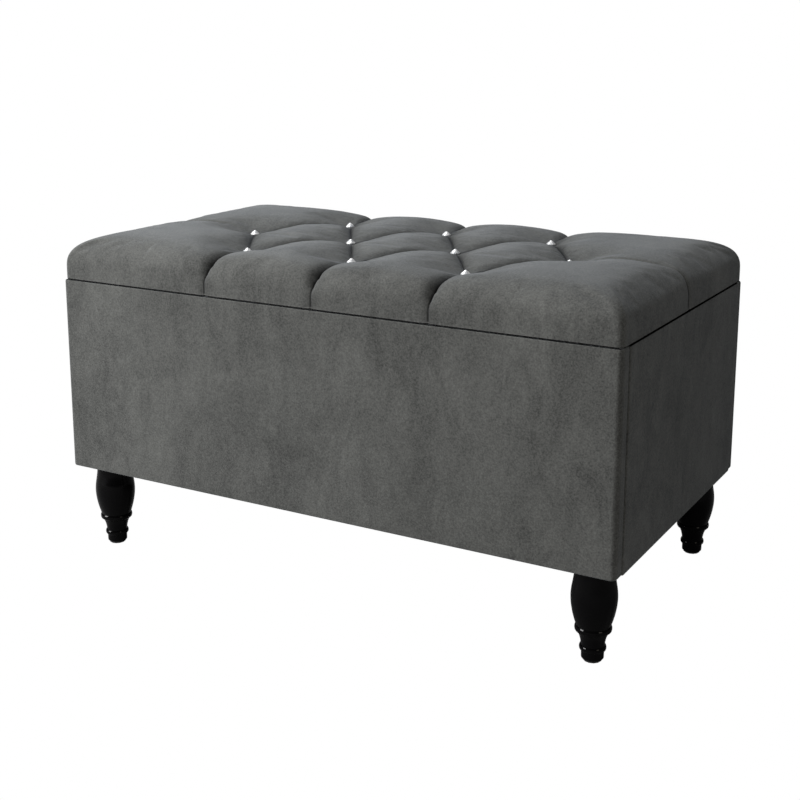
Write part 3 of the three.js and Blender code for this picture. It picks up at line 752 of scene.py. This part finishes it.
# Painted shade for the folds and buttons, worked out on the seat before it settles and stored in the fold attribute.
seat_painted_shade = painted_fold_shade(seat_points)
seat_points = settled(seat_points, seat_faces)
seat = piece("seat_upholstery", seat_points, seat_faces, VELVET, "lid")
# The fold attribute holds the painted shade that darkens the velvet material.
seat.data.attributes.new("fold", "FLOAT", "POINT").data.foreach_set("value", seat_painted_shade)
# The lip's faces take the painted seam shade.
paint_seam_shade(seat, seat_seam_shade_mask)
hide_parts("seat_cover", "seat_foam")
sub = seat.modifiers.new("smooth", "SUBSURF")
sub.levels = sub.render_levels = 1


# ---- Panels: velvet stretched over boards ----
def panel(name, half_u, low, high, edge_u, outer, inner, place, material=VELVET):
    """A board's cover: its face, its rounded edges and a band turned over to the inner side.
    place(u, z, depth) gives the point; depth runs in from the outer face. edge_u rounds the upright edges."""
    half_v, mid = (high - low) / 2, (high + low) / 2
    edge_v, thick, wrap = 1.8, inner, 26.0
    steps = 6
    rings = []
    for k in range(steps + 1):  # the rounded outer edge, from the face outwards
        a = math.radians(90 * k / steps)
        depth = edge_u * (1 - math.cos(a))
        inset_u = edge_u * (1 - math.sin(a))
        inset_v = edge_v - math.sqrt(max(edge_v**2 - (edge_v - depth) ** 2, 0)) if depth < edge_v else 0.0
        rings.append((inset_u, inset_v, depth))
    if edge_u > edge_v:  # more steps where the level edges turn
        extra = []
        for part in (0.1, 0.3, 0.6, 1.0, 1.4):
            inset_u = edge_u - math.sqrt(edge_u**2 - (edge_u - part) ** 2)
            inset_v = edge_v - math.sqrt(edge_v**2 - (edge_v - part) ** 2)
            extra.append((inset_u, inset_v, part))
        rings = sorted(rings + extra, key=lambda r: r[2])
    rings += [(0.0, 0.0, d) for d in (4.9, 9.5, 12.0, 14.5, 17.0) if d > edge_u]
    for k in range(4):
        a = math.radians(90 * k / 3)
        rings.append((1.6 * (1 - math.cos(a)), 1.6 * (1 - math.cos(a)), thick - 1.6 + 1.6 * math.sin(a)))
    rings += [(8.0, 8.0, thick), (wrap, wrap, thick)]
    face_inset = max(edge_u, edge_v)
    run_u = run_of(half_u - 3.0, 11.0)
    if place is BACK_PLACE:
        hinge_x = [s * HINGE_X + o for s in (-1, 1) for o in (-LEAF_HALF - 0.6, -LEAF_HALF + 0.6, LEAF_HALF - 0.6, LEAF_HALF + 0.6)]
        run_u = sorted([v for v in run_u if min(abs(v - h) for h in hinge_x) > 2.2] + hinge_x)
    run_v = run_of(half_v - 3.0, 11.0)
    loops = []
    for inset_u, inset_v, depth in rings:
        plan = loop(half_u - inset_u, half_v - inset_v, 2.6, (run_u, run_v), corner=3)
        loops.append(np.column_stack([plan, np.full(len(plan), depth)]))
    count = len(loops[0])
    points = np.concatenate(loops)
    faces = walls(count, len(loops), flip=False)
    scatter = Scatter()
    for p in loops[0]:
        scatter.add(p[:2])
    for p in hexagonal(half_u, half_v, 10.5):
        if inside_loop(p, half_u - rings[0][0], half_v - rings[0][1], 6.0):
            scatter.add(p, gap=7.0)
    plan, face_faces = fill(count, scatter)
    plan = np.array(plan[count:])
    first = len(points)
    points = np.concatenate([points, np.column_stack([plan, np.zeros(len(plan))])])
    faces += [tuple(i if i < count else i - count + first for i in f)[::-1] for f in face_faces]
    # Slight waves of the stretched cloth on the face
    for p in points:
        if p[2] < 3:
            edge = min((half_u - abs(p[0])) / 25.0, (half_v - abs(p[1])) / 25.0, 1.0)
            wave = noise.noise(Vector((p[0] * 0.006 + outer, p[1] * 0.009, 3.1)))
            p[2] += 0.55 * max(edge, 0) * (0.5 + wave)
    placed = np.array([place(u, v + mid, d) for u, v, d in points])
    obj = piece(name, placed, faces, material, "box")
    mesh = obj.data
    # The rim's edge under the lid takes the painted seam shade.
    paint_seam_shade(obj, (placed[:, 2] > RIM - 0.5) & (points[:, 2] > 0.8) & (points[:, 2] < 5.0))
    bm = bmesh.new()
    bm.from_mesh(mesh)
    bmesh.ops.recalc_face_normals(bm, faces=bm.faces)
    bm.to_mesh(mesh)
    bm.free()
    solid = obj.modifiers.new("cloth", "SOLIDIFY")
    solid.thickness = 1.2 * MM
    solid.offset = -1.0
    return obj


FRONT_Y = -FRONT_LOW[1]
END_X = END_HIGH[0]


def FRONT_PLACE(u, z, d):
    return (u, -FRONT_Y + d, z)


def BACK_PLACE(u, z, d):
    """The back, with its rim pressed down under the hinge leaves."""
    if abs(abs(u) - HINGE_X) < LEAF_HALF and z > 398:
        z = min(z, 403.1)
    return (-u, FRONT_Y - d, z)


def RIGHT_PLACE(u, z, d):
    return (END_X - d, u, z)


def LEFT_PLACE(u, z, d):
    return (-END_X + d, -u, z)


PANEL_LOW = FRONT_LOW[2]
LONG_HALF, SHORT_HALF = FRONT_HIGH[0], END_HIGH[1]
for name, half, edge, seed, place in (
    ("front", LONG_HALF, 8.0, 1.0, FRONT_PLACE),
    ("back", LONG_HALF, 8.0, 5.0, BACK_PLACE),
    ("left", SHORT_HALF, 2.4, 9.0, LEFT_PLACE),
    ("right", SHORT_HALF, 2.4, 13.0, RIGHT_PLACE),
):
    obj = panel(f"{name}_panel_velvet", half, PANEL_LOW, RIM, edge, seed, 21.15, place)
    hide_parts(f"{name}_panel_cover")


# ---- Legs ----
def smooth_curve(points, steps):
    """A Catmull-Rom curve through the points."""
    pts = [points[0]] + list(points) + [points[-1]]
    out = []
    for i in range(1, len(pts) - 2):
        p0, p1, p2, p3 = (np.array(p, float) for p in pts[i - 1 : i + 3])
        for k in range(steps):
            t = k / steps
            out.append(0.5 * (2 * p1 + (p2 - p0) * t + (2 * p0 - 5 * p1 + 4 * p2 - p3) * t**2 + (3 * p1 - p0 - 3 * p2 + p3) * t**3))
    out.append(np.array(points[-1], float))
    return [tuple(p) for p in out]


LEG_FOOT = [(12.6, 3.3), (13.6, 3.6), (14.0, 4.6), (14.1, 9.0), (14.1, 13.2)]
LEG_LOW_RING = [(14.4, 13.6), (15.9, 14.5), (16.6, 16.0), (16.75, 17.5), (16.6, 19.0), (15.9, 20.5), (15.0, 21.0)]
LEG_NECK = [(14.9, 21.6), (15.0, 23.5), (15.6, 27.0), (16.9, 32.0), (19.4, 38.0)]
LEG_HIGH_RING = [(20.6, 38.6), (22.2, 39.7), (22.9, 41.2), (23.1, 43.0), (22.9, 44.8), (22.2, 46.4), (21.7, 47.0)]
LEG_BELLY = [(21.8, 47.6), (22.5, 49.6), (24.2, 55.0), (26.4, 63.5), (28.2, 74.0), (28.8, 84.0), (28.2, 93.0), (26.9, 101.0), (25.3, 112.0), (24.5, 125.7)]


def turned(name, outline, at, material, body, around=72):
    """A lathe-turned piece about an upright axis, closed at both ends."""
    points, faces = [], []
    for r, z in outline:
        for k in range(around):
            a = 2 * math.pi * k / around
            points.append((at[0] + r * math.cos(a), at[1] + r * math.sin(a), z))
    faces = walls(around, len(outline))
    top = (len(outline) - 1) * around
    faces.append(tuple(range(around))[::-1])
    faces.append(tuple(range(top, top + around)))
    return piece(name, points, faces, material, body)


leg_outline = (
    smooth_curve(LEG_FOOT, 3)
    + smooth_curve(LEG_LOW_RING, 3)
    + smooth_curve(LEG_NECK, 5)
    + smooth_curve(LEG_HIGH_RING, 3)
    + smooth_curve(LEG_BELLY, 4)
)
CORNERS = [("front_left", -1, -1), ("front_right", 1, -1), ("back_left", -1, 1), ("back_right", 1, 1)]
for corner_name, sx, sy in CORNERS:
    low, high = box_mm(f"leg_{corner_name}")
    at = ((low[0] + high[0]) / 2, (low[1] + high[1]) / 2)
    leg = turned(f"turned_leg_{corner_name}", leg_outline, at, LACQUER, "box")
    leg.data.set_sharp_from_angle(angle=math.radians(38))
    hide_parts(f"leg_{corner_name}")


# ---- Crystal buttons ----
def crystal(number, x, y):
    """A cut stone with a table, eight kites and sixteen lower facets on a low cup-shaped band, all one piece in the
    crystal material.
    """
    base, girdle, top = CRYSTAL_BASE, CRYSTAL_BASE + 1.9, CRYSTAL_BASE + 7.0
    rows = [(6.0, base, 16, 0.0), (6.7, base + 0.8, 16, 0.0), (6.7, girdle, 16, 0.0), (3.7, base + 4.9, 8, 0.5), (1.1, top, 8, 0.0)]
    points, faces, starts = [], [], []
    for r, z, n, shift in rows:
        starts.append(len(points))
        for k in range(n):
            a = 2 * math.pi * (k + shift) / n + 0.2 * number
            points.append((x + r * math.cos(a), y + r * math.sin(a), z))
    for row in (0, 1):
        for k in range(16):
            j = (k + 1) % 16
            faces.append((starts[row] + k, starts[row] + j, starts[row + 1] + j, starts[row + 1] + k))
    for k in range(8):
        kite, kite_next = starts[3] + k, starts[3] + (k + 1) % 8
        g0, g1, g2 = (starts[2] + (2 * k + i) % 16 for i in range(3))
        faces += [(g0, g1, kite), (g1, g2, kite)]
        table, table_next = starts[4] + k, starts[4] + (k + 1) % 8
        faces += [(kite, table_next, table), (g2, kite_next, table_next), (g2, table_next, kite)]
    faces.append(tuple(range(starts[4], starts[4] + 8)))
    faces.append(tuple(range(16))[::-1])
    # The shank that holds it
    shank = len(points)
    for z in (423.7, base + 0.4):
        for k in range(10):
            a = 2 * math.pi * k / 10
            points.append((x + 1.6 * math.cos(a), y + 1.6 * math.sin(a), z))
    for k in range(10):
        faces.append((shank + k, shank + (k + 1) % 10, shank + 10 + (k + 1) % 10, shank + 10 + k))
    faces += [tuple(range(shank, shank + 10))[::-1], tuple(range(shank + 10, shank + 20))]
    obj = piece(f"cut_crystal_{number}", points, faces, CRYSTAL, "lid", smooth=False)
    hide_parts(f"crystal_button_{number}")


for number, (x, y) in enumerate(BUTTONS, 1):
    crystal(number, x, y)

# ---- Lining and the cloths under the lid and the base ----
random.seed(7)
CLOTH_STEP = 12.0


def staples(name, places, body):
    """Staple crowns at places, each (point, direction along, direction out), in millimetres."""
    points, faces = [], []
    for at, along, out in places:
        at, along, out = (np.array(v, float) for v in (at, along, out))
        tilt = random.uniform(-0.12, 0.12)
        across = np.cross(out, along)
        along, across = along * math.cos(tilt) + across * math.sin(tilt), across * math.cos(tilt) - along * math.sin(tilt)
        first = len(points)
        for reach, lift in ((-5.4, -0.35), (-5.1, 0.3), (-4.5, 0.5), (4.5, 0.5), (5.1, 0.3), (5.4, -0.35)):
            for side, down in ((-0.55, 0.0), (-0.4, 0.12), (0.4, 0.12), (0.55, 0.0), (0.4, -0.3), (-0.4, -0.3)):
                points.append(at + along * reach + across * side + out * (lift + down))
        for k in range(5):
            for i in range(6):
                j = (i + 1) % 6
                a = first + 6 * k
                faces.append((a + i, a + j, a + 6 + j, a + 6 + i))
        faces += [tuple(range(first, first + 6))[::-1], tuple(range(first + 30, first + 36))]
    obj = piece(name, points, faces, STEEL, body)
    tidy_normals(obj)
    obj.data.set_sharp_from_angle(angle=math.radians(40))
    return obj


def tidy_normals(obj):
    bm = bmesh.new()
    bm.from_mesh(obj.data)
    bmesh.ops.recalc_face_normals(bm, faces=bm.faces)
    bm.to_mesh(obj.data)
    bm.free()


def thicken(obj, thickness, offset):
    solid = obj.modifiers.new("cloth", "SOLIDIFY")
    solid.thickness = thickness * MM
    solid.offset = offset


def mesh_area(obj):
    return sum(polygon.area for polygon in obj.data.polygons)


def under_cloth(name, node, body, staple_inset):
    """A cloth stapled flat to an underside, with its edges turned in and slight sags between the staples."""
    low, high = box_mm(node)
    half_u, half_v, bottom, top = high[0], high[1], low[2] + 0.15, high[2]
    runs = (run_of(half_u - 2, CLOTH_STEP), run_of(half_v - 2, CLOTH_STEP))
    loops = []
    for inset, z in ((2.0, top - 0.1), (0.4, top - 0.15), (0.0, (top + bottom) / 2), (0.4, bottom + 0.1), (1.4, bottom)):
        plan = loop(half_u - inset, half_v - inset, 2.0, runs, corner=3)
        loops.append(np.column_stack([plan, np.full(len(plan), z)]))
    count = len(loops[0])
    faces = walls(count, len(loops))
    points = np.concatenate(loops)
    scatter = Scatter()
    for p in loops[-1]:
        scatter.add(p[:2])
    for p in hexagonal(half_u, half_v, CLOTH_STEP):
        if inside_loop(p, half_u, half_v, 8.0):
            scatter.add(p)
    plan, inner_faces = fill(count, scatter)
    inner = []
    for x, y in plan[count:]:
        edge = min((half_u - abs(x)) / 40, (half_v - abs(y)) / 40, 1)
        wave = noise.noise(Vector((x * 0.02, y * 0.02, bottom)))
        pull = math.sin(x * 2 * math.pi / 42) * math.sin(y * 2 * math.pi / 42)
        inner.append((x, y, bottom + 0.12 * wave + 0.1 * pull * (1 - edge)))
    start = len(points) - count
    points = np.concatenate([points, inner])
    faces += [tuple(start + i for i in f) for f in inner_faces]
    obj = piece(name, points, faces, BLACK_CLOTH, body)
    tidy_normals(obj)
    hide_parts(node)
    area = mesh_area(obj)
    thicken(obj, 0.3, -1.0)
    places = []
    u, v = half_u - staple_inset, half_v - staple_inset
    z = bottom + 0.05
    for x in np.arange(-u + 20, u - 19, 42.0):
        places += [((x, -v, z), (1, 0, 0), (0, 0, -1)), ((x, v, z), (1, 0, 0), (0, 0, -1))]
    for y in np.arange(-v + 20, v - 19, 42.0):
        places += [((-u, y, z), (0, 1, 0), (0, 0, -1)), ((u, y, z), (0, 1, 0), (0, 0, -1))]
    staples(f"{name}_staples", places, body)


under_cloth("lid_underside_cloth", "lid_lining", "lid", 6.0)
under_cloth("base_underside_cloth", "base_dust_cover", "box", 9.0)


def box_lining():
    """The cloth inside the box: down the walls, over the corner blocks and across the floor."""
    low, high = box_mm("box_lining")
    block_low, block_high = box_mm("corner_block_front_left")
    u, v = high[0] - 0.4, high[1] - 0.4
    bu, bv, shelf = abs(block_high[0]) - 0.9, abs(block_high[1]) - 0.9, block_high[2] + 0.9
    floor_z, hem = low[2] + 0.7, 386.0

    def outline(notched):
        points, last = [], np.array((-bu, -v))
        for su, sv, from_long in ((1, -1, True), (1, 1, False), (-1, 1, True), (-1, -1, False)):
            long_end, short_end = np.array((su * bu, sv * v)), np.array((su * u, sv * bv))
            start, end = (long_end, short_end) if from_long else (short_end, long_end)
            middle = np.array((su * bu, sv * bv)) if notched else np.array((su * u, sv * v))
            for a, b in ((last, start), (start, middle), (middle, end)):
                count = max(2, round(float(np.linalg.norm(b - a)) / CLOTH_STEP)) if a is last else 4
                points += [a + (b - a) * k / count for k in range(count)]
            last = end
        return points

    lower, upper = outline(True), outline(False)
    rows = [(lower, z) for z in np.linspace(floor_z, shelf, 6)] + [(upper, z) for z in np.linspace(shelf, hem, 16)]
    count = len(lower)
    points = [(p[0], p[1], z) for plan, z in rows for p in plan]
    for i, (x, y, z) in enumerate(points):
        fade = min((hem - z) / 30, (z - floor_z) / 20, 1)
        if z > shelf + 1:
            push = 1.1 * fade * (0.55 + noise.noise(Vector((x * 0.012, y * 0.012, z * 0.006 + 7))))
            points[i] = (x - math.copysign(push, x) * (abs(x) > u - 1), y - math.copysign(push, y) * (abs(y) > v - 1), z)
    faces = walls(count, len(rows), flip=True)
    scatter = Scatter()
    for p in lower:
        scatter.add(p)
    for p in hexagonal(u, v, 16.0):
        if inside_loop(p, u, v, 8.0) and not (abs(p[0]) > bu - 8 and abs(p[1]) > bv - 8):
            scatter.add(p)
    plan, floor_faces = fill(count, scatter)
    first = len(points)
    for x, y in plan[count:]:
        points.append((x, y, floor_z + 0.8 * (0.5 + noise.noise(Vector((x * 0.01, y * 0.01, 2.0))))))
    faces += [tuple(i if i < count else i - count + first for i in f) for f in floor_faces]
    obj = piece("box_inner_cloth", points, faces, BLACK_CLOTH, "box")
    obj.data.set_sharp_from_angle(angle=math.radians(50))
    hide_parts("box_lining")
    thicken(obj, 0.4, -1.0)
    places = []
    for x in np.arange(-u + 24, u - 23, 46.0):
        places += [((x, -v + 0.45, hem - 5), (1, 0, 0), (0, 1, 0)), ((x, v - 0.45, hem - 5), (1, 0, 0), (0, -1, 0))]
    for y in np.arange(-v + 24, v - 23, 46.0):
        places += [((-u + 0.45, y, hem - 5), (0, 1, 0), (1, 0, 0)), ((u - 0.45, y, hem - 5), (0, 1, 0), (-1, 0, 0))]
    staples("box_inner_cloth_staples", places, "box")


box_lining()

# ---- CAD pieces that stay ----
FINISH = {
    "chipboard": CHIPBOARD,
    "pine": PINE,
    "steel": STEEL,
    "rubber": RUBBER,
    "plastic": PLASTIC,
    "black_cloth": BLACK_CLOTH,
    "black_lacquer": LACQUER,
    "velvet": VELVET,
}
KEPT = {
    "chipboard": ["front_panel_board", "back_panel_board", "left_panel_board", "right_panel_board", "base_board", "lid_board"],
    "pine": [f"corner_block_{c[0]}" for c in CORNERS],
    "plastic": [f"leg_glide_{c[0]}" for c in CORNERS],
    "steel": [f"leg_bolt_{c[0]}" for c in CORNERS],
    "rubber": ["lid_bumper_left", "lid_bumper_right"],
}
for side in ("left", "right"):
    KEPT["steel"] += [
        f"{part}_{side}"
        for part in (
            "hinge_box_leaf",
            "hinge_lid_leaf",
            "hinge_pin",
            "stay_box_bracket",
            "stay_lid_bracket",
            "stay_lower_arm",
            "stay_upper_arm",
            "stay_knee_rivet",
        )
    ]
for finish, names in KEPT.items():
    for node_name in names:
        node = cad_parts[node_name]
        for material_slot in node.material_slots:
            material_slot.material = FINISH[finish]

# ---- Floor, world and lights ----
FLOOR_HALF = 30.0
floor_mesh = bpy.data.meshes.new("floor")
floor_mesh.from_pydata([(sx * FLOOR_HALF, sy * FLOOR_HALF, -0.0005) for sx, sy in ((-1, -1), (1, -1), (1, 1), (-1, 1))], [], [(0, 1, 2, 3)])
floor_shader = Shader("floor", Roughness=0.9, Specular_IOR_Level=0.0)
floor_shader.surface.inputs["Base Color"].default_value = (0.22, 0.22, 0.22, 1)
path = floor_shader.add("LightPath")
glow = floor_shader.add("Emission", {"Color": (1, 1, 1, 1), "Strength": 1.0})
both = floor_shader.add("MixShader", {0: path.outputs["Is Camera Ray"], 1: floor_shader.surface.outputs[0], 2: glow.outputs[0]})
floor_shader.tree.links.new(both.outputs[0], floor_shader.tree.nodes["Material Output"].inputs["Surface"])
floor_mesh.materials.append(floor_shader.material)
floor = bpy.data.objects.new("floor", floor_mesh)
scene.collection.objects.link(floor)

world = bpy.data.worlds.new("studio")
scene.world = world
world.use_nodes = True
tree = world.node_tree
background = tree.nodes["Background"]
background.inputs["Color"].default_value = (1, 1, 1, 1)
AMBIENT, MIRRORED, SEEN = 0.36, 0.04, 1.0  # strength for diffuse, glossy and camera rays
ray = tree.nodes.new("ShaderNodeLightPath")
level = tree.nodes.new("ShaderNodeMapRange")
level.inputs["To Min"].default_value = AMBIENT
level.inputs["To Max"].default_value = MIRRORED
tree.links.new(ray.outputs["Is Glossy Ray"], level.inputs["Value"])
shown = tree.nodes.new("ShaderNodeMapRange")
shown.inputs["To Max"].default_value = SEEN
tree.links.new(ray.outputs["Is Camera Ray"], shown.inputs["Value"])
tree.links.new(level.outputs["Result"], shown.inputs["To Min"])
tree.links.new(shown.outputs["Result"], background.inputs["Strength"])


def softbox(name, at, target, size, watts, tint=(1.0, 1.0, 1.0)):
    light = bpy.data.lights.new(name, "AREA")
    light.shape = "RECTANGLE"
    light.size, light.size_y = size
    light.energy = watts
    light.color = tint
    obj = bpy.data.objects.new(name, light)
    obj.location = at
    obj.rotation_euler = (Vector(target) - Vector(at)).to_track_quat("-Z", "Y").to_euler()
    scene.collection.objects.link(obj)


softbox("key", (-2.2, -2.15, 1.1), (-0.1, 0.0, 0.3), (1.2, 1.2), 126)
softbox("side", (-1.8, -0.6, 2.0), (0.0, 0.0, 0.4), (1.2, 1.2), 26)
softbox("top", (-0.8, 0.2, 2.5), (0.0, 0.0, 0.4), (1.6, 1.2), 27)
softbox("fill", (2.0, -0.9, 0.7), (0.42, 0.0, 0.3), (0.6, 0.6), 3.2, (1.0, 0.92, 0.8))

scene.view_settings.view_transform = "Standard"
scene.view_settings.look = "None"
